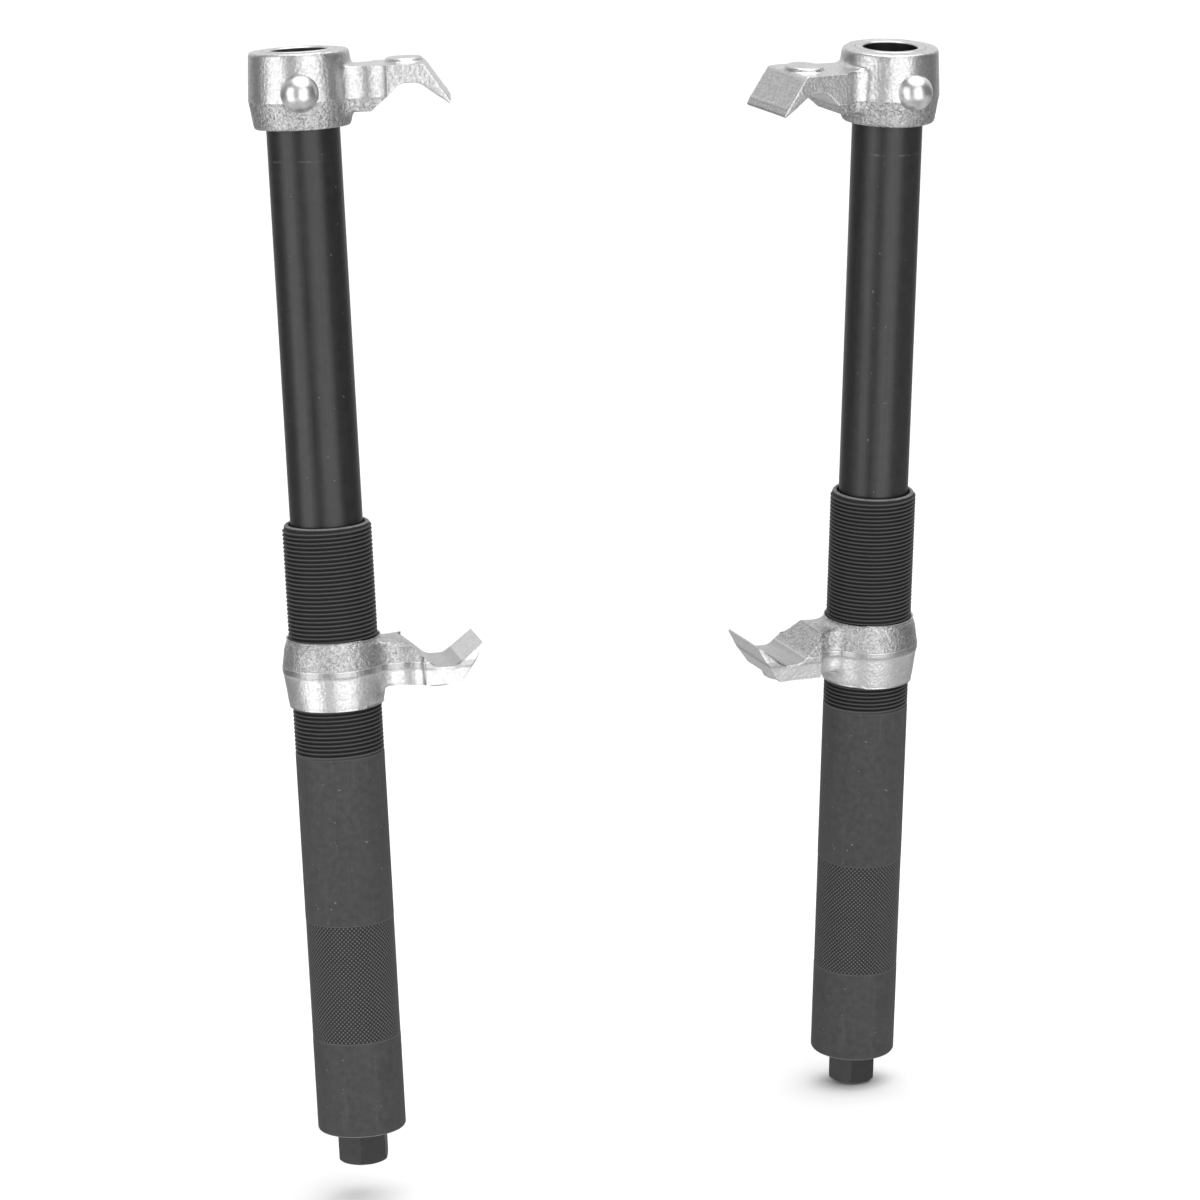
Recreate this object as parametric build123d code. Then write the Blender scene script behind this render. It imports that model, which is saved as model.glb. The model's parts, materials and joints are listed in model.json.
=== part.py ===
from build123d import *
import math
import os

# A pair of telescopic coil spring compressors. Each tool is a threaded barrel that carries the lower
# hook, an inner tube that carries the upper hook, and a screw spindle between them. Sizes are in mm.
# A tool is built upright on its own axis, with z = 0 at the end face of its barrel and the arms of
# both hooks along +X, and is then turned and put in place. The left tool's axis is the part's Z axis.

os.makedirs("parts", exist_ok=True)

# Outer barrel: plain end, knurled grip, plain part, then the M32 x 1.5 thread of the lower hook.
BARREL_R = 16.0
BARREL_L = 224.0
BARREL_BORE_R = 13.5
GRIP_Z = (35.0, 79.0)
GRIP_R = 15.9
THREAD_START_Z = 140.0
THREAD_RELIEF = 0.9
END_CHAMFER = 0.9
LIP_R = 1.0

# Inner tube, flush with the top of the upper hook's collar.
TUBE_R = 13.0
TUBE_BORE_R = 10.0
TUBE_Z = (164.0, 392.3)

# Drive nut in the tube's lower end, and the two pins that lock it.
NUT_R = 11.0
NUT_L = 25.0
NUT_PIN_R = 2.0

# Wear rings: one in the barrel's mouth, one near the tube's lower end.
RING_H = 6.0
MOUTH_RING_Z = 214.0
MOUTH_RING_R = 14.3
GUIDE_RING_Z = TUBE_Z[0] + NUT_L + 2.0
GUIDE_RING_BORE_R = 12.2

# Spindle, with its hexagon below the barrel and its flange on the thrust bearing.
SPINDLE_R = 8.0
SPINDLE_TOP_Z = 204.0
HEX_FLATS = 17.0
HEX_Z = (-12.7, -0.6)
HEX_END_R = 3.0
NECK_R = 8.4
FLANGE_Z = (2.4, 8.0)

# Thrust bearing under the barrel's inner shoulder, and the ring that keeps the spindle in.
SEAT_R = 13.4
RACE_R = 13.1
RACE_BORE_R = 8.6
LOWER_RACE_Z = (8.0, 10.0)
UPPER_RACE_Z = (14.0, 16.5)
SHOULDER_L = 8.0
BALL_R = 1.9
BALLS = 14
BALL_CIRCLE_R = 10.8
CAGE_R = (9.1, 12.5)
CAGE_Z = (10.9, 13.1)
SNAP_RING_Z = (0.9, 2.1)
SNAP_RING_R = (10.9, 14.3)

# Washer and screw on the spindle's top, which stop the nut from running off it.
STOP_WASHER_R = 9.6
STOP_WASHER_H = 3.0
STOP_SCREW_R = 2.5
STOP_HEAD = (4.3, 4.5)
STOP_SCREW_DEPTH = 12.0

# Forged hooks. The arm's height is measured from its flat side: the top of an upper hook's arm and
# the underside of a lower one's. The notch for the spring's wire opens on the other side.
COLLAR_R = 18.9
COLLAR_DRAFT = 0.5
COLLAR_EDGE_R = 1.6
PARTING_DEPTH = 15.5
UPPER_COLLAR_H = 27.3
LOWER_COLLAR_H = 25.0
ARM_DROP = 6.0
ARM_H = 16.5
ARM_TIP_X = 53.0
NOSE_TOP_X = 44.0
NOSE_TOP_R = 2.5
NOSE_H = 14.8
SLOPE_X = 24.7
BLOCK_W = 28.0
NECK_START_X = 12.0
NECK_W = 19.0
NOTCH_X = (35.0, 41.3)
NOTCH_ROOF_H = 6.8
NOTCH_CORNER_R = 4.5
PAD_X = 36.6
PAD_SIZE = (14.6, 17.0, 1.8)
# On each side of the arm: which side, where the wide block starts, and how far it stands out from
# the neck there.
ARM_SIDES = ((1, 24.7, 3.6), (-1, 29.5, 1.6))

# Cross pin that holds the upper hook on the tube, with a domed head at each end.
PIN_R = 4.0
PIN_DROP = 14.0
DOME_R = 6.6
DOME_H = 5.4

# Clearances: for a fit that turns or slides, and for pieces fixed together.
RUNNING = 0.05
FIXED = 0.02

# Where each tool stands, how far its axis leans, and which way its hooks point from +X.
PLACES = {
    "left": {
        "at": (0.0, 0.0, 0.0),
        "lean": (0.0, 0.0, 0.0),
        "lower_hook_z": 158.0,
        "upper_arm": -26.0,
        "lower_arm": -17.0,
    },
    "right": {
        "at": (218.4, 19.3, -13.0),
        "lean": (6.8, 0.9, 0.0),
        "lower_hook_z": 150.5,
        "upper_arm": 181.0,
        "lower_arm": 176.0,
    },
}

UP = (Align.CENTER, Align.CENTER, Align.MIN)


def rod(radius, low, high):
    """A round bar about the Z axis, between two heights."""
    return Pos(0, 0, low) * Cylinder(radius, high - low, align=UP)


def ring(outer, inner, low, high):
    """A round ring about the Z axis, between two heights."""
    return rod(outer, low, high) - rod(inner, low - 1, high + 1)


def turned(*outline):
    """The solid that an outline of (radius, height) points sweeps about the Z axis."""
    face = make_face(Polyline(*[(r, 0, z) for r, z in outline], close=True))
    return revolve(face, Axis.Z)


def edges_at(solid, radius, height):
    """The circular edges of one radius at one height."""
    near = solid.edges().filter_by(GeomType.CIRCLE)
    return [
        e for e in near if abs(e.radius - radius) < 0.01 and abs(e.arc_center.Z - height) < 0.01
    ]


def make_barrel():
    shoulder = UPPER_RACE_Z[1]
    floor = shoulder + SHOULDER_L
    groove = BARREL_R - THREAD_RELIEF
    body = turned(
        (SEAT_R, 0),
        (BARREL_R - END_CHAMFER, 0),
        (BARREL_R, END_CHAMFER),
        (BARREL_R, GRIP_Z[0]),
        (GRIP_R, GRIP_Z[0]),
        (GRIP_R, GRIP_Z[1]),
        (BARREL_R, GRIP_Z[1]),
        (BARREL_R, THREAD_START_Z),
        (groove, THREAD_START_Z + THREAD_RELIEF),
        (groove, THREAD_START_Z + 2 * THREAD_RELIEF),
        (BARREL_R, THREAD_START_Z + 3 * THREAD_RELIEF),
        (BARREL_R, BARREL_L),
        (BARREL_BORE_R, BARREL_L),
        (BARREL_BORE_R, MOUTH_RING_Z + RING_H),
        (MOUTH_RING_R, MOUTH_RING_Z + RING_H),
        (MOUTH_RING_R, MOUTH_RING_Z),
        (BARREL_BORE_R, MOUTH_RING_Z),
        (BARREL_BORE_R, floor),
        (SPINDLE_R + 0.4, floor),
        (SPINDLE_R + 0.4, shoulder),
        (SEAT_R, shoulder),
        (SEAT_R, SNAP_RING_Z[1]),
        (SNAP_RING_R[1], SNAP_RING_Z[1]),
        (SNAP_RING_R[1], SNAP_RING_Z[0]),
        (SEAT_R, SNAP_RING_Z[0]),
    )
    lips = edges_at(body, BARREL_R, BARREL_L) + edges_at(body, BARREL_BORE_R, BARREL_L)
    return fillet(lips, LIP_R)


def make_inner_tube():
    low, high = TUBE_Z
    groove = (GUIDE_RING_Z, GUIDE_RING_Z + RING_H)
    body = turned(
        (NUT_R + FIXED, low),
        (TUBE_R - 0.8, low),
        (TUBE_R, low + 0.8),
        (TUBE_R, groove[0]),
        (GUIDE_RING_BORE_R, groove[0]),
        (GUIDE_RING_BORE_R, groove[1]),
        (TUBE_R, groove[1]),
        (TUBE_R, high),
        (TUBE_BORE_R + 0.6, high),
        (TUBE_BORE_R, high - 0.6),
        (TUBE_BORE_R, low + NUT_L),
        (NUT_R + FIXED, low + NUT_L),
    )
    pin_hole = Pos(0, 0, high - PIN_DROP) * Rot(90, 0, 0) * Cylinder(PIN_R + FIXED, 3 * TUBE_R)
    return body - pin_hole - nut_pin_bores()


def nut_pin_bores():
    """The two radial bores for the nut's pins, one on each side of the tube."""
    height = TUBE_Z[0] + NUT_L / 2
    return Pos(0, 0, height) * Rot(0, 90, 0) * Cylinder(NUT_PIN_R + FIXED, 3 * TUBE_R) - rod(
        NUT_R - 1.4, TUBE_Z[0], TUBE_Z[0] + NUT_L
    )


def make_nut_pins():
    height = TUBE_Z[0] + NUT_L / 2
    bar = Pos(0, 0, height) * Rot(0, 90, 0) * Cylinder(NUT_PIN_R, 3 * TUBE_R)
    wall = ring(TUBE_R - 0.4, NUT_R - 1.3, TUBE_Z[0], TUBE_Z[0] + NUT_L)
    return bar & wall


def make_drive_nut():
    low = TUBE_Z[0]
    return ring(NUT_R, SPINDLE_R + RUNNING, low, low + NUT_L) - nut_pin_bores()


def make_guide_ring():
    return ring(
        BARREL_BORE_R - RUNNING,
        GUIDE_RING_BORE_R + RUNNING,
        GUIDE_RING_Z + RUNNING,
        GUIDE_RING_Z + RING_H - RUNNING,
    )


def make_mouth_ring():
    return ring(
        MOUTH_RING_R - FIXED,
        TUBE_R + RUNNING,
        MOUTH_RING_Z + FIXED,
        MOUTH_RING_Z + RING_H - FIXED,
    )


def make_spindle():
    low, high = HEX_Z
    hexagon = Pos(0, 0, low) * extrude(
        RegularPolygon(HEX_FLATS / 2, 6, major_radius=False), high - low
    )
    round_bar = rod(HEX_FLATS / math.sqrt(3), low, high)
    round_bar = fillet(round_bar.edges().group_by(Axis.Z)[0], HEX_END_R)
    shaft = turned(
        (0, high),
        (NECK_R, high),
        (NECK_R, FLANGE_Z[0]),
        (RACE_R, FLANGE_Z[0]),
        (RACE_R, FLANGE_Z[1]),
        (SPINDLE_R, FLANGE_Z[1]),
        (SPINDLE_R, SPINDLE_TOP_Z - 1),
        (SPINDLE_R - 1, SPINDLE_TOP_Z),
        (0, SPINDLE_TOP_Z),
    )
    screw_hole = rod(STOP_SCREW_R + FIXED, SPINDLE_TOP_Z - STOP_SCREW_DEPTH, SPINDLE_TOP_Z + 1)
    return (hexagon & round_bar) + shaft - screw_hole


def make_stop_washer():
    low = SPINDLE_TOP_Z
    return ring(STOP_WASHER_R, STOP_SCREW_R + FIXED, low, low + STOP_WASHER_H)


def make_stop_screw():
    seat = SPINDLE_TOP_Z + STOP_WASHER_H
    head_r, head_h = STOP_HEAD
    shank = rod(STOP_SCREW_R, SPINDLE_TOP_Z - STOP_SCREW_DEPTH + 1, seat)
    socket = Pos(0, 0, seat + head_h / 2) * extrude(
        RegularPolygon(head_r / 2, 6, major_radius=False), head_h
    )
    return shank + rod(head_r, seat, seat + head_h) - socket


def ball_places():
    step = 2 * math.pi / BALLS
    middle = (LOWER_RACE_Z[1] + UPPER_RACE_Z[0]) / 2
    return [
        Pos(BALL_CIRCLE_R * math.cos(i * step), BALL_CIRCLE_R * math.sin(i * step), middle)
        for i in range(BALLS)
    ]


def make_balls():
    return Compound([place * Sphere(BALL_R) for place in ball_places()])


def make_cage():
    cage = ring(CAGE_R[1], CAGE_R[0], *CAGE_Z)
    for place in ball_places():
        cage -= place * Cylinder(BALL_R - 0.35, 10)
        cage -= place * Sphere(BALL_R + 0.1)
    return cage


def make_snap_ring():
    inner, outer = SNAP_RING_R
    gap = Pos(outer, 0, 0) * Box(2 * outer - 2, 7, 20)
    return ring(outer - FIXED, inner, SNAP_RING_Z[0] + FIXED, SNAP_RING_Z[1] - FIXED) - gap


def arm_side():
    """The arm seen from its side: flat top at height 0, slanted nose and the notch for the wire."""
    outline = Polyline(
        (NECK_START_X, 0, 0),
        (NOSE_TOP_X, 0, 0),
        (ARM_TIP_X, 0, -NOSE_H + 0.9),
        (ARM_TIP_X - 1.2, 0, -NOSE_H),
        (NOTCH_X[1], 0, -NOTCH_ROOF_H),
        (NOTCH_X[0], 0, -NOTCH_ROOF_H),
        (SLOPE_X, 0, -ARM_H),
        (NECK_START_X, 0, -ARM_H),
        close=True,
    )
    face = make_face(outline)
    roof = [v for v in face.vertices() if abs(v.Z + NOTCH_ROOF_H) < 0.01]
    face = fillet(roof, NOTCH_CORNER_R)
    nose_top = [v for v in face.vertices() if abs(v.Z) < 0.01 and abs(v.X - NOSE_TOP_X) < 0.01]
    return fillet(nose_top, NOSE_TOP_R)


def arm_plan():
    """The arm seen from above: a waisted neck between the collar and the wider block."""
    half = BLOCK_W / 2
    start = NECK_START_X
    end = ARM_TIP_X + 1
    outline = Curve() + Line((start, -half), (start, half)) + Line((end, half), (end, -half))
    for side, block_x, step in ARM_SIDES:
        waist = ((start + block_x) / 2, side * NECK_W / 2)
        outline += ThreePointArc((start, side * half), waist, (block_x, side * (half - step)))
        outline += Polyline(
            (block_x, side * (half - step)), (block_x + 0.8, side * half), (end, side * half)
        )
    return make_face(outline)


def make_upper_form(height, bore_r):
    """A forged collar and arm, arm along +X and flat side up, with the collar's top at height 0."""
    collar = turned(
        (bore_r, 0),
        (COLLAR_R - COLLAR_DRAFT, 0),
        (COLLAR_R, -PARTING_DEPTH),
        (COLLAR_R - COLLAR_DRAFT, -height),
        (bore_r, -height),
    )
    rims = edges_at(collar, COLLAR_R - COLLAR_DRAFT, 0) + edges_at(
        collar, COLLAR_R - COLLAR_DRAFT, -height
    )
    collar = fillet(rims, COLLAR_EDGE_R)
    side = extrude(arm_side(), BLOCK_W, both=True)
    plan = Pos(0, 0, -2 * ARM_H) * extrude(arm_plan(), 3 * ARM_H)
    length, width, rise = PAD_SIZE
    pad = Pos(PAD_X, 0, -rise) * extrude(Ellipse(length / 2, width / 2), 2 * rise)
    pad = fillet(pad.edges().group_by(Axis.Z)[-1], rise * 0.9)
    arm = (side & plan) + pad
    return collar + Pos(0, 0, -ARM_DROP) * arm - rod(bore_r, -height - 1, 1)


def make_upper_hook():
    top = TUBE_Z[1]
    hook = Pos(0, 0, top) * make_upper_form(UPPER_COLLAR_H, TUBE_R + FIXED)
    pin_hole = Pos(0, 0, top - PIN_DROP) * Rot(90, 0, 0) * Cylinder(PIN_R + FIXED, 3 * COLLAR_R)
    return hook - pin_hole


def make_lower_hook(low):
    form = make_upper_form(LOWER_COLLAR_H, BARREL_R + RUNNING)
    return Pos(0, 0, low) * mirror(form, about=Plane.XY)


def make_cross_pin():
    """The pin lies square to the arm. Its domed heads sit on the collar's round sides."""
    sphere_r = (DOME_R**2 + DOME_H**2) / (2 * DOME_H)
    cap = Pos(0, 0, COLLAR_R + DOME_H - sphere_r) * Sphere(sphere_r)
    head = (cap & rod(DOME_R, COLLAR_R, COLLAR_R + 2 * DOME_H)) + rod(DOME_R, TUBE_R, COLLAR_R)
    heads = head + Rot(180, 0, 0) * head
    height = TUBE_Z[1] - PIN_DROP
    lying = Pos(0, 0, height) * Rot(90, 0, 0)
    collar_space = rod(COLLAR_R + FIXED, height - 2 * DOME_R, height + 2 * DOME_R)
    return (lying * heads - collar_space) + lying * Cylinder(PIN_R, 2 * COLLAR_R + 2)


def make_tool(place):
    """Every piece of one tool, upright on its own axis, by name."""
    upper = Rot(0, 0, place["upper_arm"])
    lower = Rot(0, 0, place["lower_arm"])
    return {
        "barrel": make_barrel(),
        "mouth_ring": make_mouth_ring(),
        "inner_tube": upper * make_inner_tube(),
        "guide_ring": make_guide_ring(),
        "drive_nut": upper * make_drive_nut(),
        "nut_pins": upper * make_nut_pins(),
        "upper_hook": upper * make_upper_hook(),
        "cross_pin": upper * make_cross_pin(),
        "lower_hook": lower * make_lower_hook(place["lower_hook_z"]),
        "spindle": make_spindle(),
        "stop_washer": make_stop_washer(),
        "stop_screw": make_stop_screw(),
        "lower_race": ring(RACE_R, RACE_BORE_R, *LOWER_RACE_Z),
        "upper_race": ring(RACE_R, RACE_BORE_R, *UPPER_RACE_Z),
        "bearing_cage": make_cage(),
        "bearing_balls": make_balls(),
        "snap_ring": make_snap_ring(),
    }


for side, place in PLACES.items():
    where = Location(place["at"], place["lean"])
    for name, piece in make_tool(place).items():
        export_step(where * piece, f"parts/{side}_{name}.step")
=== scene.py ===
import json
import math

import bmesh
import bpy
import numpy as np
from mathutils import Matrix, Vector


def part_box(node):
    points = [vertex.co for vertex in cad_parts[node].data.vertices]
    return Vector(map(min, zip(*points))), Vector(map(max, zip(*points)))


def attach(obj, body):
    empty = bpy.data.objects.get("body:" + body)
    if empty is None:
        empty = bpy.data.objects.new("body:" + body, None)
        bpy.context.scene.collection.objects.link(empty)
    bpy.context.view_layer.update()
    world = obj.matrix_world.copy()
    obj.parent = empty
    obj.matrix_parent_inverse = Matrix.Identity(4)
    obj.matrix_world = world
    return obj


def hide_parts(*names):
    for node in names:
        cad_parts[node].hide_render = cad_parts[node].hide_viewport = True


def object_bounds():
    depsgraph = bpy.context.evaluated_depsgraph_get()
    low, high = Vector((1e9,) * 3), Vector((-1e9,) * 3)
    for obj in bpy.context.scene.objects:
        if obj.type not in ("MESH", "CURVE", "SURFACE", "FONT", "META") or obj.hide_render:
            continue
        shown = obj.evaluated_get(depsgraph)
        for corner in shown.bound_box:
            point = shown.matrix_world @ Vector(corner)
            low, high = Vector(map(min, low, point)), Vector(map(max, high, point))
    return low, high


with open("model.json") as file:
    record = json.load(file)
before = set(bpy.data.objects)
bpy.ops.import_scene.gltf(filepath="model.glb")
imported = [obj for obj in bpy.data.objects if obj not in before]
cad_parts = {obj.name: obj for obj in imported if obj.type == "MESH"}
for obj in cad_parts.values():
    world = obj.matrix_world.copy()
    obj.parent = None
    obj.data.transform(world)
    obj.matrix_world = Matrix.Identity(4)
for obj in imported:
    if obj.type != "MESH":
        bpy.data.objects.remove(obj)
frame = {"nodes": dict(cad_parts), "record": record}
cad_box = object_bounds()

# Two telescopic coil spring compressors. Every shape is made in its tool's own coordinates, with z = 0
# at the end face of the barrel and z up the tool's axis, and is then put where the frame says.

MM = 0.001
SIDES = ("left", "right")
RECORD = frame["record"]

# Barrel, with the seat for its bearing, the wear ring's groove in its mouth and its rounded ends.
BARREL_R = 16.0 * MM
BORE_R = 13.5 * MM
SEAT_R = 13.4 * MM
SEAT_TOP = 16.5 * MM
FLOOR_TOP = 24.5 * MM
SHAFT_HOLE_R = 8.4 * MM
MOUTH_GROOVE = 0.8 * MM
END_ROUND = 1.25 * MM
LIP_ROUND = 0.8 * MM
LIP_SINK = 0.7 * MM
BORE_ROUND = 0.5 * MM

# Points around the barrel. A knurl pyramid takes KNURL_STEPS of them, and as many rows.
COLUMNS = 256
GRIP = (35.0 * MM, 79.0 * MM)
GRIP_SINK = 0.12 * MM
GRIP_EDGE = 0.3 * MM
KNURL_DEPTH = 0.36 * MM
KNURL_STEPS = 4

# The M32 x 1.5 thread. Its form is one turn's points: share of the pitch, and 1 on the crest or 0 in
# the root.
THREAD_START = 140.0 * MM
PITCH = 1.5 * MM
THREAD_DEPTH = 0.85 * MM
THREAD_FORM = ((0.0, 1.0), (0.16, 1.0), (0.50, 0.0), (0.66, 0.0))
CREST_SINK = 0.02 * MM

# Inner tube, with the drive nut's bore and the guide ring's groove at its foot.
TUBE_R = 13.0 * MM
TUBE_BORE_R = 10.0 * MM
TUBE_COLUMNS = 160
NUT_BORE_R = 11.02 * MM
NUT_L = 25.0 * MM
GROOVE_R = 12.12 * MM
RING_GAP = 0.04 * MM
FOOT_CHAMFER = 0.8 * MM
TOP_CHAMFER = 0.35 * MM
BORE_CHAMFER = 0.6 * MM

# Cross pin with its domed heads, which start inside the upper hook's collar.
PIN_R = 4.0 * MM
PIN_DROP = 14.0 * MM
PIN_COLUMNS = 72
DOME_R = 6.6 * MM
DOME_H = 5.36 * MM
COLLAR_R = 18.9 * MM

# Forged hooks: the grid they are remeshed on, how far their skin lies inside the plain solid, and the
# flash left where the two halves of the die met. Flash heights are from the collar's low end, drafts
# are in degrees below and above it, and darks are the greys of its pits, on the fine and coarse side.
VOXEL = 0.36 * MM
SKIN = 0.23 * MM
HOOKS = {
    "upper": {
        "flash": (9.9 * MM, 10.4 * MM),
        "drafts": (6.0, 1.5),
        "seed": 7,
        "darks": (0.5, 0.25),
    },
    "lower": {
        "flash": (12.3 * MM, 14.9 * MM),
        "drafts": (5.5, 5.5),
        "seed": 11,
        "darks": (0.6, 0.29),
    },
}
FLASH_H = 0.22 * MM
FLASH_EDGE = 0.12 * MM
LOWER_RIM_H = 5.0 * MM
LOWER_RIM_IN = 1.7 * MM

# Where the neck joins the collar, the mesh is smoothed: how far from the collar's wall, from which x
# on, how wide and how many times.
JOIN_REACH = 3.2 * MM
JOIN_FROM_X = 8 * MM
JOIN_HALF_W = 15.5 * MM
JOIN_PASSES = 90

# The skin's relief: its height, and how many waves of which lengths it is the sum of.
RELIEF_H = 0.02 * MM
LONG_WAVES = (40, 3 * MM, 8 * MM)
SHORT_WAVES = (60, 0.8 * MM, 1.6 * MM)
SHORT_SEED = 23

# The bore stays true: the wall beside it doesn't move, and its own points are put back on its radius.
BORE_WALL = (1.0 * MM, 0.6 * MM)
BORE_NEAR = 0.35 * MM
BORE_ENDS = 0.9 * MM
BORE_GAP = 0.02 * MM


def mount(name):
    """A mount's position and axis in the row frame."""
    found = next(m for m in RECORD["mounts"] if m["name"] == name)
    return Vector(found["pos_m"]), Vector(found["axis"])


def tool_matrix(side):
    """Turns a tool's own coordinates into the row frame."""
    base, down = mount(f"{side}_drive_hex")
    z = -down.normalized()
    x = (Vector((1, 0, 0)) - z * z.x).normalized()
    y = z.cross(x)
    turn = Matrix((x, y, z)).transposed().to_4x4()
    return Matrix.Translation(base) @ turn


def arm_matrix(side, which):
    """The tool's coordinates turned about its axis, so that the hook's arm lies along +x."""
    tool = tool_matrix(side)
    seat = tool.inverted() @ mount(f"{side}_{which}_seat")[0]
    return tool @ Matrix.Rotation(math.atan2(seat.y, seat.x), 4, "Z")


TUBE_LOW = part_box("left_inner_tube")[0].z
TUBE_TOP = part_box("left_inner_tube")[1].z
BARREL_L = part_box("left_barrel")[1].z
GUIDE_Z = (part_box("left_guide_ring")[0].z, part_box("left_guide_ring")[1].z)
MOUTH_Z = (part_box("left_mouth_ring")[0].z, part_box("left_mouth_ring")[1].z)
UPPER_HOOK_Z = (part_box("left_upper_hook")[0].z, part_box("left_upper_hook")[1].z)
LOWER_HOOK_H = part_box("left_lower_hook")[1].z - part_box("left_lower_hook")[0].z
SEAT_ABOVE_LOWER = mount("left_lower_seat")[0].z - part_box("left_lower_hook")[0].z


def hook_span(side, which):
    """The lowest and highest point of a hook's collar, along the tool's axis."""
    if which == "upper":
        return UPPER_HOOK_Z
    seat = tool_matrix(side).inverted() @ mount(f"{side}_lower_seat")[0]
    low = seat.z - SEAT_ABOVE_LOWER
    return low, low + LOWER_HOOK_H


# ---------------------------------------------------------------------------------------------------
# Mesh helpers


def arc(centre, radius, start, stop, steps):
    """Points on an arc in the (radius, height) plane, angles in degrees."""
    turns = [math.radians(start + (stop - start) * i / steps) for i in range(steps + 1)]
    return [(centre[0] + radius * math.cos(a), centre[1] + radius * math.sin(a)) for a in turns]


def rows_to_mesh(rows, columns):
    """Vertices and faces of rings of (radius, height), one after the other."""
    angle = np.arange(columns) * 2 * math.pi / columns
    points = [
        np.stack([r * np.cos(angle), r * np.sin(angle), np.full(columns, z)], axis=1) for r, z in rows
    ]
    a = np.arange(columns)
    b = (a + 1) % columns
    quads = [
        np.stack([k * columns + a, k * columns + b, (k + 1) * columns + b, (k + 1) * columns + a], axis=1)
        for k in range(len(rows) - 1)
    ]
    return np.concatenate(points), np.concatenate(quads).tolist()


def make_object(name, parts, matrix, sharp=35.0):
    """One object from several (vertices, faces) parts that share their border rings."""
    mesh = bpy.data.meshes.new(name)
    points = []
    faces = []
    offset = 0
    for vertices, part_faces in parts:
        points.append(vertices)
        faces += [[offset + i for i in face] for face in part_faces]
        offset += len(vertices)
    mesh.from_pydata(np.concatenate(points).tolist(), [], faces)
    form = bmesh.new()
    form.from_mesh(mesh)
    bmesh.ops.remove_doubles(form, verts=form.verts, dist=0.002 * MM)
    bmesh.ops.dissolve_degenerate(form, edges=form.edges, dist=0.0005 * MM)
    bmesh.ops.recalc_face_normals(form, faces=form.faces)
    form.to_mesh(mesh)
    form.free()
    return dress(name, mesh, matrix, sharp)


def dress(name, mesh, matrix, sharp, base=0.0):
    """Keeps each point's own coordinates, above base, for the materials, and puts the mesh in the frame."""
    own = np.zeros(len(mesh.vertices) * 3, np.float32)
    mesh.vertices.foreach_get("co", own)
    own[2::3] -= base
    mesh.attributes.new("own", "FLOAT_VECTOR", "POINT").data.foreach_set("vector", own)
    mesh.transform(matrix)
    mesh.polygons.foreach_set("use_smooth", [True] * len(mesh.polygons))
    mesh.set_sharp_from_angle(angle=math.radians(sharp))
    mesh.update()
    piece = bpy.data.objects.new(name, mesh)
    bpy.context.scene.collection.objects.link(piece)
    return piece


def finish_piece(piece, node, body, material):
    """Gives a piece its material and its body, and hides the CAD node that it stands for."""
    piece.data.materials.clear()
    piece.data.materials.append(material)
    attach(piece, body)
    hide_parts(node)


# ---------------------------------------------------------------------------------------------------
# Barrel


def knurl_part():
    """A diamond knurl: small pyramids between two crossing sets of helical grooves."""
    step = 2 * math.pi * BARREL_R / COLUMNS
    count = KNURL_STEPS * round((GRIP[1] - GRIP[0]) / step / KNURL_STEPS)
    column = np.arange(COLUMNS)
    angle = column * 2 * math.pi / COLUMNS
    heights = np.linspace(GRIP[0], GRIP[1], count + 1)
    points = []
    for k, z in enumerate(heights):
        rising = (column - k) % KNURL_STEPS
        falling = (column + k) % KNURL_STEPS
        to_groove = np.minimum(
            np.minimum(rising, KNURL_STEPS - rising), np.minimum(falling, KNURL_STEPS - falling)
        )
        radius = BARREL_R - KNURL_DEPTH * (1 - 2 * to_groove / KNURL_STEPS)
        if k in (0, count):
            radius = np.full(COLUMNS, BARREL_R - GRIP_SINK)
        height = np.full(COLUMNS, z)
        points.append(np.stack([radius * np.cos(angle), radius * np.sin(angle), height], axis=1))
    faces = []
    for k in range(count):
        for i in range(COLUMNS):
            j = (i + 1) % COLUMNS
            a = k * COLUMNS + i
            b = k * COLUMNS + j
            c = b + COLUMNS
            d = a + COLUMNS
            on_falling = (i + k + 1) % KNURL_STEPS == 0
            faces += [[a, b, d], [b, c, d]] if on_falling else [[a, b, c], [a, c, d]]
    return np.concatenate(points), faces


def thread_part(low, high):
    """A right-hand thread whose rows of points climb with the helix. It runs out at its lower end."""
    per_turn = len(THREAD_FORM)
    turns = math.ceil((high - low) / PITCH)
    share = np.arange(COLUMNS) / COLUMNS
    angle = share * 2 * math.pi
    points = []
    for k in range(-per_turn, turns * per_turn + 1):
        phase, crest = THREAD_FORM[k % per_turn]
        z = np.clip(low + (k // per_turn + phase + share) * PITCH, low, high)
        depth = THREAD_DEPTH * (1 - crest) * np.clip((z - low) / PITCH, 0, 1)
        end_cut = np.clip(z - (high - LIP_SINK), 0, None)
        radius = np.minimum(BARREL_R - CREST_SINK - depth, BARREL_R - end_cut)
        radius = np.where(z <= low, BARREL_R, radius)
        radius = np.where(z >= high, BARREL_R - LIP_SINK, radius)
        points.append(np.stack([radius * np.cos(angle), radius * np.sin(angle), z], axis=1))
    last = len(points) - 1
    faces = []
    for k in range(last):
        for i in range(COLUMNS):
            step = per_turn if i == COLUMNS - 1 else 0
            j = (i + 1) % COLUMNS
            right_low = min(k + step, last)
            right_high = min(k + 1 + step, last)
            faces.append(
                [k * COLUMNS + i, right_low * COLUMNS + j, right_high * COLUMNS + j, (k + 1) * COLUMNS + i]
            )
    return np.concatenate(points), faces


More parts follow.
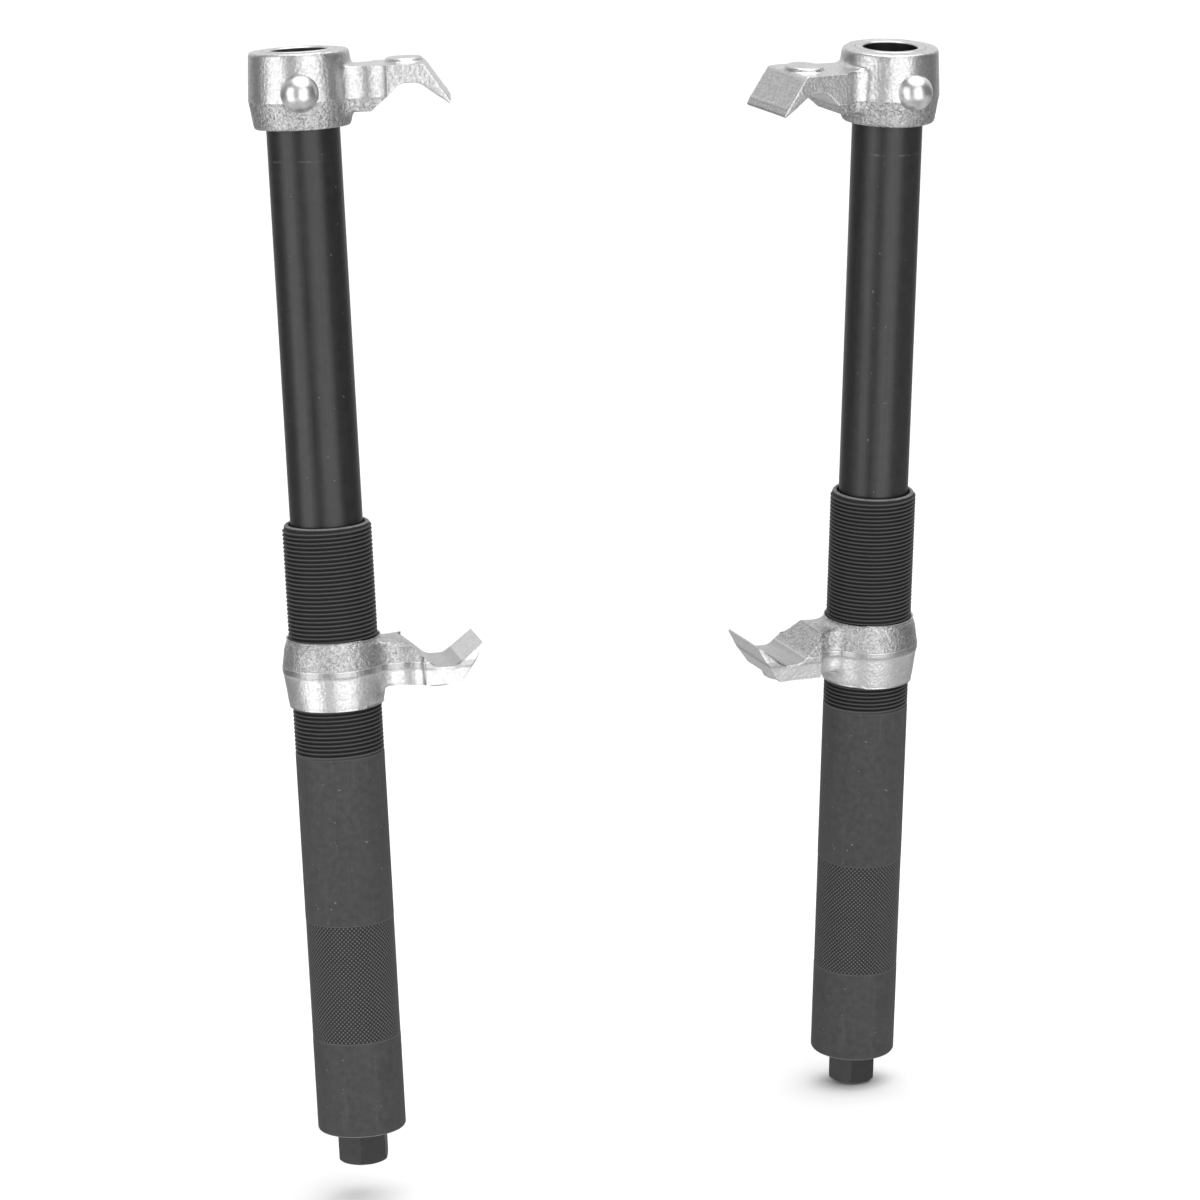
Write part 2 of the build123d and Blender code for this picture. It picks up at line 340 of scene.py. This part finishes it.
def make_barrel(side):
    """The barrel's shell, from the edge of its bearing seat up the outside and down the bore."""
    thread_top = BARREL_L - LIP_ROUND
    lip_r = BARREL_R - LIP_SINK
    outside_low = (
        [(SEAT_R, 0)]
        + arc((BARREL_R - END_ROUND, END_ROUND), END_ROUND, -90, 0, 5)
        + [(BARREL_R, GRIP[0] - GRIP_EDGE), (BARREL_R - GRIP_SINK, GRIP[0])]
    )
    outside_middle = [(BARREL_R - GRIP_SINK, GRIP[1]), (BARREL_R, GRIP[1] + GRIP_EDGE)]
    outside_middle += [(BARREL_R, THREAD_START)]
    lip = arc((lip_r - LIP_ROUND, thread_top), LIP_ROUND, 0, 90, 5)
    lip += arc((BORE_R + BORE_ROUND, BARREL_L - BORE_ROUND), BORE_ROUND, 90, 180, 4)
    inside = [
        (BORE_R, MOUTH_Z[1]),
        (BORE_R + MOUTH_GROOVE, MOUTH_Z[1]),
        (BORE_R + MOUTH_GROOVE, MOUTH_Z[0]),
        (BORE_R, MOUTH_Z[0]),
        (BORE_R, FLOOR_TOP),
        (SHAFT_HOLE_R, FLOOR_TOP),
        (SHAFT_HOLE_R, SEAT_TOP),
        (SEAT_R, SEAT_TOP),
        (SEAT_R, 0),
    ]
    parts = [
        rows_to_mesh(outside_low, COLUMNS),
        knurl_part(),
        rows_to_mesh(outside_middle, COLUMNS),
        thread_part(THREAD_START, thread_top),
        rows_to_mesh(lip + inside, COLUMNS),
    ]
    return make_object(f"{side}_barrel_shell", parts, tool_matrix(side), sharp=28)


# ---------------------------------------------------------------------------------------------------
# Inner tube and cross pin


def make_tube(side):
    """The tube's section, from the edge of the nut's bore up the outside and down the bore."""
    rows = [
        (NUT_BORE_R, TUBE_LOW),
        (TUBE_R - FOOT_CHAMFER, TUBE_LOW),
        (TUBE_R, TUBE_LOW + FOOT_CHAMFER),
        (TUBE_R, GUIDE_Z[0] - RING_GAP),
        (GROOVE_R, GUIDE_Z[0] - RING_GAP),
        (GROOVE_R, GUIDE_Z[1] + RING_GAP),
        (TUBE_R, GUIDE_Z[1] + RING_GAP),
        (TUBE_R, TUBE_TOP - TOP_CHAMFER),
        (TUBE_R - TOP_CHAMFER, TUBE_TOP),
        (TUBE_BORE_R + BORE_CHAMFER, TUBE_TOP),
        (TUBE_BORE_R, TUBE_TOP - BORE_CHAMFER),
        (TUBE_BORE_R, TUBE_LOW + NUT_L),
        (NUT_BORE_R, TUBE_LOW + NUT_L),
        (NUT_BORE_R, TUBE_LOW),
    ]
    return make_object(f"{side}_tube", [rows_to_mesh(rows, TUBE_COLUMNS)], arm_matrix(side, "upper"))


def make_pin(side):
    """A shank with a domed head at each end, turned about z and then laid square to the arm."""
    ball_r = (DOME_R**2 + DOME_H**2) / (2 * DOME_H)
    start = math.degrees(math.asin((ball_r - DOME_H) / ball_r))
    head = [(PIN_R, TUBE_R), (DOME_R, TUBE_R), (DOME_R, COLLAR_R)]
    head += arc((0, COLLAR_R + DOME_H - ball_r), ball_r, -start + 2, 89.6, 26)
    head += [(0.01 * MM, COLLAR_R + DOME_H)]
    profile = [(r, -z) for r, z in reversed(head)] + head
    matrix = arm_matrix(side, "upper") @ Matrix.Translation((0, 0, TUBE_TOP - PIN_DROP))
    matrix = matrix @ Matrix.Rotation(math.radians(90), 4, "X")
    return make_object(f"{side}_pin", [rows_to_mesh(profile, PIN_COLUMNS)], matrix)


# ---------------------------------------------------------------------------------------------------
# Forged hooks


def evaluated_copy(mesh, *modifiers, weights=None):
    """The mesh after modifiers, each given as (type, settings). Weights, if any, limit all of them."""
    holder = bpy.data.objects.new("work", mesh)
    bpy.context.scene.collection.objects.link(holder)
    if weights is not None:
        group = holder.vertex_groups.new(name="where")
        levels = np.round(weights * 10).astype(int)
        for level in range(1, 11):
            group.add(np.nonzero(levels == level)[0].tolist(), level / 10, "REPLACE")
    for kind, settings in modifiers:
        modifier = holder.modifiers.new(kind, kind)
        for key, value in settings.items():
            setattr(modifier, key, value)
        if weights is not None:
            modifier.vertex_group = "where"
    view = bpy.context.evaluated_depsgraph_get()
    result = bpy.data.meshes.new_from_object(holder.evaluated_get(view))
    bpy.data.objects.remove(holder)
    return result


def vertex_arrays(mesh):
    points = np.zeros(len(mesh.vertices) * 3)
    normals = np.zeros(len(mesh.vertices) * 3)
    mesh.vertices.foreach_get("co", points)
    mesh.vertices.foreach_get("normal", normals)
    return points.reshape(-1, 3), normals.reshape(-1, 3)


def waves(points, seed, count, shortest, longest):
    """Smooth uneven relief between about -1 and 1: a sum of plane waves in seeded directions."""
    draw = np.random.default_rng(seed)
    total = np.zeros(len(points))
    for _ in range(count):
        direction = draw.normal(size=3)
        direction /= np.linalg.norm(direction)
        length = draw.uniform(shortest, longest)
        total += np.sin(points @ direction * 2 * math.pi / length + draw.uniform(0, 2 * math.pi))
    return total / math.sqrt(count)


def plain_hook(side, which, matrix):
    """The CAD hook in its arm's coordinates, welded into one skin."""
    plain = frame["nodes"][f"{side}_{which}_hook"].data.copy()
    plain.transform(matrix.inverted())
    weld = bmesh.new()
    weld.from_mesh(plain)
    bmesh.ops.remove_doubles(weld, verts=weld.verts, dist=0.001 * MM)
    weld.to_mesh(plain)
    weld.free()
    return plain


def smooth(passes):
    return "SMOOTH", {"factor": 0.5, "iterations": passes}


def soften_join(mesh):
    """The mesh with a soft root where the arm's neck meets the collar."""
    points, _ = vertex_arrays(mesh)
    radius = np.hypot(points[:, 0], points[:, 1])
    join = np.exp(-(((radius - COLLAR_R) / JOIN_REACH) ** 2)) * (points[:, 0] > JOIN_FROM_X)
    join *= np.abs(points[:, 1]) < JOIN_HALF_W
    return evaluated_copy(mesh, smooth(JOIN_PASSES), weights=join)


def forging_shift(which, points, normals, low, high):
    """How far each point moves: in by the draft and the skin, out on the flash, and by the relief."""
    form = HOOKS[which]
    sideways = normals * np.array([1, 1, 0])
    steep = np.linalg.norm(sideways, axis=1)
    flash_low, flash_high = (low + h for h in form["flash"])
    below = np.clip(flash_low - points[:, 2], 0, None)
    above = np.clip(points[:, 2] - flash_high, 0, None)
    drafts = [math.tan(math.radians(angle)) for angle in form["drafts"]]
    inward = below * drafts[0] + above * drafts[1]
    if which == "lower":
        rise = np.clip((points[:, 2] - high + LOWER_RIM_H) / LOWER_RIM_H, 0, 1)
        inward += LOWER_RIM_IN * (1 - np.sqrt(1 - rise**2))
    inward = inward[:, None] * sideways
    on_flash = 1 / (1 + np.exp(-(points[:, 2] - flash_low) / FLASH_EDGE))
    on_flash *= 1 / (1 + np.exp((points[:, 2] - flash_high) / FLASH_EDGE))
    ridge = (on_flash * steep * FLASH_H)[:, None] * sideways
    relief = RELIEF_H * waves(points, form["seed"], *LONG_WAVES)
    relief += RELIEF_H * waves(points, SHORT_SEED, *SHORT_WAVES)
    return ridge - inward + normals * (relief - SKIN)[:, None]


def make_hook(side, which):
    """The hook's plain solid, remeshed, softened and given the form and skin of a forging."""
    matrix = arm_matrix(side, which)
    low, high = hook_span(side, which)
    bore = TUBE_R if which == "upper" else BARREL_R
    remesh = "REMESH", {"mode": "VOXEL", "voxel_size": VOXEL}
    mesh = soften_join(evaluated_copy(plain_hook(side, which, matrix), remesh, smooth(5)))
    points, normals = vertex_arrays(mesh)
    radius = np.hypot(points[:, 0], points[:, 1])
    outside = np.clip((radius - bore - BORE_WALL[0]) / BORE_WALL[1], 0, 1)[:, None]
    points += outside * forging_shift(which, points, normals, low, high)
    near_bore = (radius < bore + BORE_NEAR) & (points[:, 2] > low + BORE_ENDS)
    near_bore &= points[:, 2] < high - BORE_ENDS
    stretch = np.where(near_bore, (bore + BORE_GAP) / np.maximum(radius, 1e-6), 1.0)
    points[:, :2] *= stretch[:, None]
    mesh.vertices.foreach_set("co", points.ravel())
    return dress(f"{side}_{which}_forging", evaluated_copy(mesh, smooth(2)), matrix, 60, base=low)


# ---------------------------------------------------------------------------------------------------
# Materials


class Shader:
    """A material with one Principled shader, and short calls that add nodes to it.

    A node's inputs are given by name, or by number as _0, _1 and so on.
    """

    def __init__(self, name, **constants):
        self.material = bpy.data.materials.new(name)
        self.material.use_nodes = True
        self.tree = self.material.node_tree
        self.surface = self.tree.nodes["Principled BSDF"]
        for key, value in constants.items():
            self.surface.inputs[key.replace("_", " ")].default_value = value

    def add(self, kind, settings=None, **inputs):
        node = self.tree.nodes.new(kind)
        for key, value in (settings or {}).items():
            setattr(node, key, value)
        for key, value in inputs.items():
            self.put(node.inputs[int(key[1:])] if key[1:].isdigit() else node.inputs[key], value)
        return node

    def put(self, socket, value):
        if isinstance(value, bpy.types.NodeSocket):
            self.tree.links.new(value, socket)
        elif isinstance(value, bpy.types.Node):
            self.tree.links.new(value.outputs[0], socket)
        else:
            socket.default_value = value

    def own(self):
        """A point's place in its tool's own coordinates."""
        return self.add("ShaderNodeAttribute", {"attribute_name": "own"}).outputs["Vector"]

    def place(self):
        return self.add("ShaderNodeTexCoord").outputs["Object"]

    def maths(self, operation, a, b=0.0):
        return self.add("ShaderNodeMath", {"operation": operation}, _0=a, _1=b)

    def noise(self, where, scale, detail=3.0, rough=0.6):
        return self.add("ShaderNodeTexNoise", Vector=where, Scale=scale, Detail=detail, Roughness=rough)

    def stretch(self, where, scale):
        return self.add("ShaderNodeMapping", Vector=where, Scale=scale)

    def fade(self, value, low, high, out_low=0.0, out_high=1.0):
        """The value's way from low to high, as out_low to out_high, and flat beyond."""
        return self.add(
            "ShaderNodeMapRange", {"clamp": True}, _0=value, _1=low, _2=high, _3=out_low, _4=out_high
        )

    def mix(self, share, a, b):
        node = self.add("ShaderNodeMix", {"data_type": "RGBA"})
        self.put(node.inputs["Factor"], share)
        for socket, value in ((node.inputs[6], a), (node.inputs[7], b)):
            self.put(socket, (*value, 1.0) if isinstance(value, tuple) and len(value) == 3 else value)
        return node.outputs[2]

    def height(self, where):
        return self.add("ShaderNodeSeparateXYZ", _0=where).outputs[2]

    def bump(self, value, distance, strength=1.0):
        return self.add("ShaderNodeBump", Height=value, Distance=distance, Strength=strength)

    def use(self, **inputs):
        for key, value in inputs.items():
            self.put(self.surface.inputs[key.replace("_", " ")], value)
        return self.material


def grey(value, blue=0.0):
    return (value, value, value * (1 + blue))


# How softly one zone of a finish meets the next, along the axis, and where the arm's coarse side ends.
ZONE_EDGE = 0.1 * MM
PARTING_EDGE = 0.15 * MM
COARSE_ENDS_X = (31 * MM, 34 * MM)


def forged_zinc(which):
    """Bright zinc on a shot-blasted forging. The side of the parting line that the shot hit is coarser."""
    s = Shader(f"forged_zinc_{which}", Metallic=1.0)
    own = s.own()
    parts = s.add("ShaderNodeSeparateXYZ", _0=own)
    z = parts.outputs[2]
    flash_low, flash_high = HOOKS[which]["flash"]
    grain = s.noise(own, 1500, 3, 0.7)
    pits = s.noise(own, 820, 2, 0.6)
    clouds = s.noise(own, 150, 3, 0.55)
    below = s.fade(z, flash_low - PARTING_EDGE, flash_low + PARTING_EDGE, 1.0, 0.0)
    above = s.fade(z, flash_high - PARTING_EDGE, flash_high + PARTING_EDGE)
    coarse = below if which == "upper" else above
    coarse = s.maths("MULTIPLY", coarse, s.fade(parts.outputs[0], *COARSE_ENDS_X, 1.0, 0.0))
    shade = s.maths("ADD", s.maths("MULTIPLY", grain, 0.6), s.maths("MULTIPLY", pits, 0.4))
    fine_dark, coarse_dark = HOOKS[which]["darks"]
    light = s.mix(coarse, grey(0.76, 0.012), grey(0.68, 0.012))
    dark = s.mix(coarse, grey(fine_dark, 0.01), grey(coarse_dark, 0.01))
    colour = s.mix(s.fade(shade, 0.38, 0.62), dark, light)
    colour = s.mix(s.fade(clouds, 0.45, 0.75, 0.0, 0.25), colour, grey(0.45, 0.01))
    if which == "lower":
        rising = s.fade(z, flash_low, flash_low + 0.3 * MM)
        falling = s.fade(z, flash_high - 0.5 * MM, flash_high - 0.3 * MM, 1.0, 0.0)
        trimmed = s.maths("MULTIPLY", rising, falling)
        colour = s.mix(s.maths("MULTIPLY", trimmed, 0.55), colour, grey(0.3, 0.01))
    rough = s.maths("ADD", s.fade(shade, 0.38, 0.62, 0.4, 0.3), s.maths("MULTIPLY", coarse, 0.06))
    relief = s.maths("ADD", s.maths("MULTIPLY", grain, 0.6), pits)
    depth = s.maths("ADD", 0.3, s.maths("MULTIPLY", coarse, 0.7))
    bump = s.bump(s.maths("MULTIPLY", relief, depth), 0.3 * MM, 1.0)
    return s.use(Base_Color=colour, Roughness=rough, Normal=bump)


def pin_zinc():
    """Smooth turned zinc with a faint swirl and handling marks."""
    s = Shader("pin_zinc", Metallic=1.0)
    own = s.own()
    soft = s.noise(own, 260, 3, 0.6)
    fine = s.noise(own, 2200, 3, 0.6)
    colour = s.mix(s.fade(soft, 0.35, 0.7), grey(0.84, 0.01), grey(0.55, 0.01))
    rough = s.fade(fine, 0.3, 0.7, 0.28, 0.4)
    return s.use(Base_Color=colour, Roughness=rough, Normal=s.bump(fine, 0.03 * MM, 0.5))


def barrel_black():
    """Matt black phosphate with small specks, painted highlights on the crests and rims, and painted shade
    in the roots and grooves.
    """
    s = Shader("barrel_black", Metallic=0.0, Specular_IOR_Level=0.2)
    own = s.own()
    parts = s.add("ShaderNodeSeparateXYZ", _0=own)
    z = parts.outputs[2]
    flat = s.add("ShaderNodeCombineXYZ", _0=parts.outputs[0], _1=parts.outputs[1])
    radius = s.add("ShaderNodeVectorMath", {"operation": "LENGTH"}, _0=flat).outputs["Value"]
    mottle = s.noise(own, 420, 4, 0.6)
    streaks = s.noise(s.stretch(own, (900.0, 900.0, 40.0)), 1.0, 3, 0.6)
    threaded = s.fade(z, THREAD_START - ZONE_EDGE, THREAD_START + ZONE_EDGE)
    above_start = s.fade(z, GRIP[0] - ZONE_EDGE, GRIP[0])
    below_end = s.fade(z, GRIP[1] + ZONE_EDGE, GRIP[1])
    gripped = s.maths("MULTIPLY", above_start, below_end)
    plain = s.mix(s.fade(mottle, 0.3, 0.7), grey(0.04), grey(0.056, 0.01))
    plain = s.mix(s.fade(streaks, 0.55, 0.8, 0.0, 0.4), plain, grey(0.075, 0.01))
    specks = s.fade(s.noise(own, 900, 1, 0.4), 0.76, 0.8)
    plain = s.mix(s.maths("MULTIPLY", specks, 0.5), plain, grey(0.3))
    # Painted highlight on the thread's crests and painted shade in its roots: the colour runs from dark in
    # the root to light on the crest.
    crest_highlight = s.fade(radius, BARREL_R - 0.45 * MM, BARREL_R - 0.05 * MM)
    thread = s.mix(crest_highlight, grey(0.02, 0.02), grey(0.07, 0.02))
    # Painted highlight on the knurl's points and painted shade in its grooves.
    point_highlight = s.fade(radius, BARREL_R - 0.3 * MM, BARREL_R - 0.02 * MM)
    grip = s.mix(point_highlight, grey(0.02, 0.03), grey(0.14, 0.02))
    colour = s.mix(threaded, s.mix(gripped, plain, grip), thread)
    # Painted highlights: thin, mottled light lines along the rounded lower rim and along the lip.
    edge_low = s.fade(z, 0.15 * MM, 0.75 * MM, 1.0, 0.0)
    edge_lip = s.fade(z, BARREL_L - 0.55 * MM, BARREL_L - 0.2 * MM)
    rim_highlight = s.maths("MULTIPLY", s.maths("MAXIMUM", edge_low, edge_lip), s.fade(mottle, 0.3, 0.5, 0.4, 1.0))
    outside = s.fade(radius, BORE_R + 0.3 * MM, BORE_R + 0.6 * MM)
    colour = s.mix(s.maths("MULTIPLY", rim_highlight, s.maths("MULTIPLY", outside, 0.7)), colour, grey(0.26))
    rough = s.fade(mottle, 0.3, 0.7, 0.5, 0.62)
    bump = s.bump(s.maths("ADD", mottle, s.maths("MULTIPLY", streaks, 0.4)), 0.03 * MM, 0.6)
    return s.use(Base_Color=colour, Roughness=rough, Normal=bump)


def tube_black():
    """Satin black tube with drawn streaks, scuffs, a rubbed band and a bright sawn end."""
    s = Shader("tube_black", Specular_IOR_Level=0.6)
    own = s.own()
    z = s.height(own)
    drawn = s.noise(s.stretch(own, (1400.0, 1400.0, 22.0)), 1.0, 3, 0.6)
    mottle = s.noise(own, 260, 4, 0.6)
    colour = s.mix(s.fade(mottle, 0.3, 0.75), grey(0.006), grey(0.013, 0.02))
    specks = s.fade(s.noise(own, 700, 1, 0.4), 0.77, 0.81)
    colour = s.mix(s.maths("MULTIPLY", specks, 0.5), colour, grey(0.3))
    rub_z = UPPER_HOOK_Z[0] - 11 * MM
    uneven = s.maths("MULTIPLY", s.maths("SUBTRACT", s.noise(own, 90, 2), 0.5), 1.2 * MM)
    far = s.maths("ABSOLUTE", s.maths("SUBTRACT", s.maths("ADD", z, uneven), rub_z))
    patchy = s.fade(s.noise(own, 300, 3), 0.45, 0.7)
    rub = s.maths("MULTIPLY", s.fade(far, 0.0, 0.45 * MM, 1.0, 0.0), patchy)
    colour = s.mix(s.maths("MULTIPLY", rub, 0.35), colour, grey(0.2))
    sawn = s.fade(z, TUBE_TOP - 0.5 * MM, TUBE_TOP - 0.3 * MM)
    colour = s.mix(sawn, colour, s.mix(s.fade(drawn, 0.3, 0.7), grey(0.5, 0.01), grey(0.72, 0.01)))
    rough = s.fade(drawn, 0.3, 0.7, 0.31, 0.43)
    bump = s.bump(s.maths("ADD", drawn, mottle), 0.012 * MM, 0.6)
    return s.use(Base_Color=colour, Roughness=rough, Metallic=sawn, Normal=bump)


def turned_metal(name, light, dark, metallic, rough, scale=1500.0):
    """A plain turned or ground metal for the CAD solids that show little, with fine uneven wear."""
    s = Shader(name, Metallic=metallic)
    where = s.place()
    fine = s.noise(where, scale, 4, 0.65)
    cloud = s.noise(where, 160, 3, 0.6)
    colour = s.mix(s.fade(fine, 0.35, 0.68), dark, light)
    colour = s.mix(s.fade(cloud, 0.5, 0.8, 0.0, 0.4), colour, dark)
    roughness = s.fade(cloud, 0.3, 0.7, rough - 0.06, rough + 0.08)
    return s.use(Base_Color=colour, Roughness=roughness, Normal=s.bump(fine, 0.02 * MM, 0.6))


# ---------------------------------------------------------------------------------------------------
# Putting the tools together

ZINC = {which: forged_zinc(which) for which in HOOKS}
PIN_ZINC = pin_zinc()
BARREL_BLACK = barrel_black()
TUBE_BLACK = tube_black()
CAD_METALS = {
    "spindle": turned_metal("spindle_steel", grey(0.026), grey(0.012), 0.1, 0.45),
    "stop_washer": turned_metal("washer_steel", grey(0.5), grey(0.3), 1.0, 0.3),
    "stop_screw": turned_metal("screw_black", grey(0.06), grey(0.03), 0.4, 0.4),
    "lower_race": turned_metal("race_steel", grey(0.72), grey(0.55), 1.0, 0.18),
    "upper_race": turned_metal("race_steel_upper", grey(0.72), grey(0.55), 1.0, 0.18),
    "bearing_cage": turned_metal("cage_steel", grey(0.5), grey(0.36), 1.0, 0.35),
    "bearing_balls": turned_metal("ball_steel", grey(0.8), grey(0.66), 1.0, 0.1, 600.0),
    "snap_ring": turned_metal("snap_ring_steel", grey(0.13), grey(0.07), 0.8, 0.4),
    "guide_ring": turned_metal("guide_ring_bronze", (0.62, 0.4, 0.17), (0.4, 0.24, 0.1), 1.0, 0.32),
    "mouth_ring": turned_metal("mouth_ring_bronze", (0.62, 0.4, 0.17), (0.4, 0.24, 0.1), 1.0, 0.32),
    "drive_nut": turned_metal("nut_bronze", (0.58, 0.38, 0.17), (0.38, 0.23, 0.1), 1.0, 0.35),
    "nut_pins": turned_metal("nut_pin_steel", grey(0.5), grey(0.35), 1.0, 0.3),
}

for side in SIDES:
    finish_piece(make_barrel(side), f"{side}_barrel", f"{side}_barrel", BARREL_BLACK)
    finish_piece(make_tube(side), f"{side}_inner_tube", f"{side}_slider", TUBE_BLACK)
    finish_piece(make_pin(side), f"{side}_cross_pin", f"{side}_slider", PIN_ZINC)
    for which in HOOKS:
        body = f"{side}_slider" if which == "upper" else f"{side}_lower_hook"
        finish_piece(make_hook(side, which), f"{side}_{which}_hook", body, ZINC[which])
    for name, material in CAD_METALS.items():
        node = frame["nodes"][f"{side}_{name}"]
        node.data.materials.clear()
        node.data.materials.append(material)

# ---------------------------------------------------------------------------------------------------
# Floor, light and camera


MIDDLE = Vector([(a + b) / 2 for a, b in zip(*cad_box)])
FLOOR_R = 14.0
FLOOR_GAP = 0.4 * MM

# Camera: lens and sensor in mm, the point it looks at, how far it stands from there, from which side,
# how high, and its roll. Angles are in degrees.
LENS = 150.6
SENSOR = 36.0
AIM = Vector((0.1293, 0.0412, 0.1722))
REACH = 1.893
AZIMUTH = 27.3
ELEVATION = 11.007
ROLL = -2.8

# Softboxes: name, turn from the camera's side, width in degrees as the tools see it, and radiance.
SOFTBOXES = (("key", 54, 44, 1.7), ("fill", -24, 54, 1.6))
SOFTBOX_ELEVATION = 2
SOFTBOX_REACH = 2.6
SOFTBOX_H = 3.6

# One broad soft sun overhead: strength, angle, and where it stands.
OVERHEAD = 2.4
OVERHEAD_ANGLE = 70
OVERHEAD_PLACE = (0.3, -0.6, 3.0)

# The room's radiance: on the camera's side, behind and above the tools, and from a table below. The
# ramps say where each of the last two starts and is full, as cosines of the direction.
ROOM_FRONT = 0.17
ROOM_BACK = 0.88
ROOM_BACK_ELEVATION = 40
ROOM_BACK_RAMP = (0.35, 0.8)
TABLE = 0.62
TABLE_RAMP = (-0.24, -0.42)


def make_floor():
    """A plain pale floor just below the tools. It isn't part of them."""
    mesh = bpy.data.meshes.new("floor")
    form = bmesh.new()
    bmesh.ops.create_circle(form, cap_ends=True, segments=96, radius=FLOOR_R)
    form.to_mesh(mesh)
    form.free()
    floor = bpy.data.objects.new("floor", mesh)
    floor.location.z = cad_box[0][2] - FLOOR_GAP
    floor.visible_glossy = False
    floor.visible_shadow = False
    bpy.context.scene.collection.objects.link(floor)
    s = Shader("pale_floor", Metallic=0.0, Specular_IOR_Level=0.1)
    cloud = s.noise(s.place(), 3.0, 2)
    colour = s.mix(cloud, grey(0.88), grey(0.9))
    mesh.materials.append(s.use(Base_Color=colour, Roughness=s.fade(cloud, 0, 1, 0.8, 0.9)))


def add_light(name, kind, energy, place, aim, **settings):
    data = bpy.data.lights.new(name, kind)
    data.energy = energy
    for key, value in settings.items():
        setattr(data, key, value)
    light = bpy.data.objects.new(name, data)
    light.location = place
    light.rotation_euler = (Vector(aim) - Vector(place)).to_track_quat("-Z", "Y").to_euler()
    bpy.context.scene.collection.objects.link(light)


def around(azimuth, elevation, reach, target):
    """A place seen from the target: azimuth 0 is at -y and grows towards -x."""
    a = math.radians(azimuth)
    e = math.radians(elevation)
    return target + reach * Vector((-math.sin(a) * math.cos(e), -math.cos(a) * math.cos(e), math.sin(e)))


def make_camera():
    data = bpy.data.cameras.new("camera")
    data.lens = LENS
    data.sensor_width = SENSOR
    data.clip_end = 50.0
    camera = bpy.data.objects.new("camera", data)
    eye = around(AZIMUTH, ELEVATION, REACH, AIM)
    turn = (AIM - eye).to_track_quat("-Z", "Y").to_matrix().to_4x4()
    camera.matrix_world = Matrix.Translation(eye) @ turn @ Matrix.Rotation(math.radians(ROLL), 4, "Z")
    bpy.context.scene.collection.objects.link(camera)
    bpy.context.scene.camera = camera


def make_world():
    """A pale room that is darker on the camera's side, so that metal has something dark to reflect."""
    world = bpy.data.worlds.new("studio")
    bpy.context.scene.world = world
    world.use_nodes = True
    nodes = world.node_tree.nodes
    links = world.node_tree.links
    direction = nodes.new("ShaderNodeTexCoord").outputs["Generated"]
    away = nodes.new("ShaderNodeVectorMath")
    away.operation = "DOT_PRODUCT"
    away.inputs[1].default_value = around(AZIMUTH + 180, ROOM_BACK_ELEVATION, 1, Vector())
    links.new(direction, away.inputs[0])
    low = nodes.new("ShaderNodeSeparateXYZ")
    links.new(direction, low.inputs[0])
    brightest = nodes.new("ShaderNodeMath")
    brightest.operation = "MAXIMUM"
    ramps = (
        (away.outputs["Value"], (*ROOM_BACK_RAMP, ROOM_FRONT, ROOM_BACK)),
        (low.outputs["Z"], (*TABLE_RAMP, ROOM_FRONT, TABLE)),
    )
    for slot, (value, steps) in enumerate(ramps):
        level = nodes.new("ShaderNodeMapRange")
        for socket, step in zip(level.inputs[1:5], steps):
            socket.default_value = step
        links.new(value, level.inputs[0])
        links.new(level.outputs[0], brightest.inputs[slot])
    links.new(brightest.outputs[0], nodes["Background"].inputs["Strength"])
    nodes["Background"].inputs["Color"].default_value = (1.0, 1.0, 1.0, 1.0)


def make_lights():
    make_world()
    spread = math.radians(OVERHEAD_ANGLE)
    add_light("overhead", "SUN", OVERHEAD, OVERHEAD_PLACE, (0, 0, 0), angle=spread)
    for name, turn, width, glow in SOFTBOXES:
        size = 2 * SOFTBOX_REACH * math.tan(math.radians(width / 2))
        power = glow * math.pi * size * SOFTBOX_H
        place = around(AZIMUTH + turn, SOFTBOX_ELEVATION, SOFTBOX_REACH, MIDDLE)
        add_light(name, "AREA", power, place, MIDDLE, shape="RECTANGLE", size=size, size_y=SOFTBOX_H)


make_floor()
make_lights()
make_camera()
bpy.context.scene.view_settings.view_transform = "Standard"
